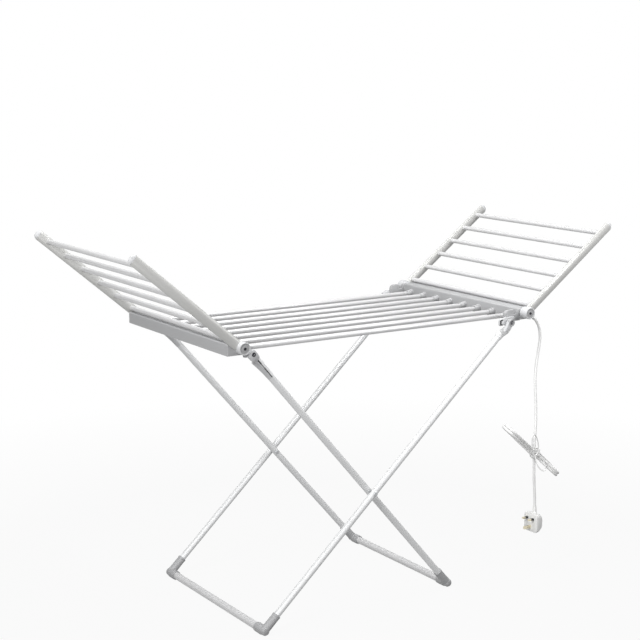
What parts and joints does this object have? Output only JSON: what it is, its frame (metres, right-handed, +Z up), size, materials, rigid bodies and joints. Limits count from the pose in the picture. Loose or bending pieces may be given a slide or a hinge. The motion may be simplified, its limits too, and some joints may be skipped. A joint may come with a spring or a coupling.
{
  "type": "heated clothes airer",
  "caption": "Free-standing folding heated clothes airer: heated rods between moulded end housings, a raised wing at each end, crossed folding legs and a corded plug.",
  "frame": {"origin": "middle of the airer without its cord, on the floor", "axes": "+X along the heated rods towards the end where the cord leaves, +Y across to the far side, +Z up"},
  "size_m": [1.3519, 0.5372, 0.9062],
  "materials": {
    "moulding": "fine satin",
    "knuckle": "satin",
    "rod": "satin anodised",
    "rail_metal": "satin",
    "leg_paint": "satin silver paint",
    "steel": "plain",
    "heating_cable": "matt",
    "block": "plain",
    "cord": "matt",
    "tie": "plain",
    "plug": "plain"
  },
  "bodies": {
    "rack": {"housing_left": "moulding", "housing_right": "moulding", "base_cover_left": "moulding", "base_cover_right": "moulding", "leg_catch_near": "moulding", "leg_catch_far": "moulding", "rod_1": "rod", "rod_2": "rod", "rod_3": "rod", "rod_4": "rod", "rod_5": "rod", "rod_6": "rod", "rod_7": "rod", "rod_8": "rod", "heating_cable": "heating_cable", "terminal_block": "block", "leg_pivot_near": "steel", "leg_pivot_far": "steel", "cord_gland": "cord", "cord_upper": "cord", "cord_hank": "cord", "cord_lower": "cord", "cord_tie": "tie", "plug": "plug"},
    "wing_left": {"wing_left_rail_near": "rail_metal", "wing_left_knuckle_near": "knuckle", "wing_left_rail_far": "rail_metal", "wing_left_knuckle_far": "knuckle", "wing_left_bar_1": "rod", "wing_left_bar_2": "rod", "wing_left_bar_3": "rod", "wing_left_bar_4": "rod", "wing_left_bar_5": "rod", "wing_left_bar_6": "rod"},
    "wing_right": {"wing_right_rail_near": "rail_metal", "wing_right_knuckle_near": "knuckle", "wing_right_rail_far": "rail_metal", "wing_right_knuckle_far": "knuckle", "wing_right_bar_1": "rod", "wing_right_bar_2": "rod", "wing_right_bar_3": "rod", "wing_right_bar_4": "rod", "wing_right_bar_5": "rod", "wing_right_bar_6": "rod"},
    "legs_inner": {"inner_leg_near": "leg_paint", "inner_leg_far": "leg_paint", "inner_cap_near": "moulding", "inner_cap_far": "moulding", "inner_elbow_near": "moulding", "inner_elbow_far": "moulding", "inner_foot_bar": "leg_paint", "crossing_rivet_near": "steel", "crossing_rivet_far": "steel"},
    "legs_outer": {"outer_leg_near": "leg_paint", "outer_leg_far": "leg_paint", "outer_cap_near": "moulding", "outer_cap_far": "moulding", "outer_elbow_near": "moulding", "outer_elbow_far": "moulding", "outer_foot_bar": "leg_paint"}
  },
  "joints": [
    {"name": "wing_left_hinge", "type": "hinge", "parent": "rack", "child": "wing_left", "pos_m": [-0.41064, 0, 0.6823], "axis": [0, 1, 0], "range_deg": [0, 130]},
    {"name": "wing_right_hinge", "type": "hinge", "parent": "rack", "child": "wing_right", "pos_m": [0.39876, 0, 0.6823], "axis": [0, -1, 0], "range_deg": [0, 133]},
    {"name": "legs_inner_hinge", "type": "hinge", "parent": "rack", "child": "legs_inner", "pos_m": [-0.38754, 0, 0.6669], "axis": [0, -1, 0], "range_deg": [0, 41]},
    {"name": "legs_crossing", "type": "hinge", "parent": "legs_inner", "child": "legs_outer", "pos_m": [-0.04447, 0, 0.28834], "axis": [0, -1, 0], "range_deg": [-85.3, 0]}
  ],
  "couplings": [
    {"joint": "legs_crossing", "follows": "legs_inner_hinge", "ratio": -2.08}
  ]
}
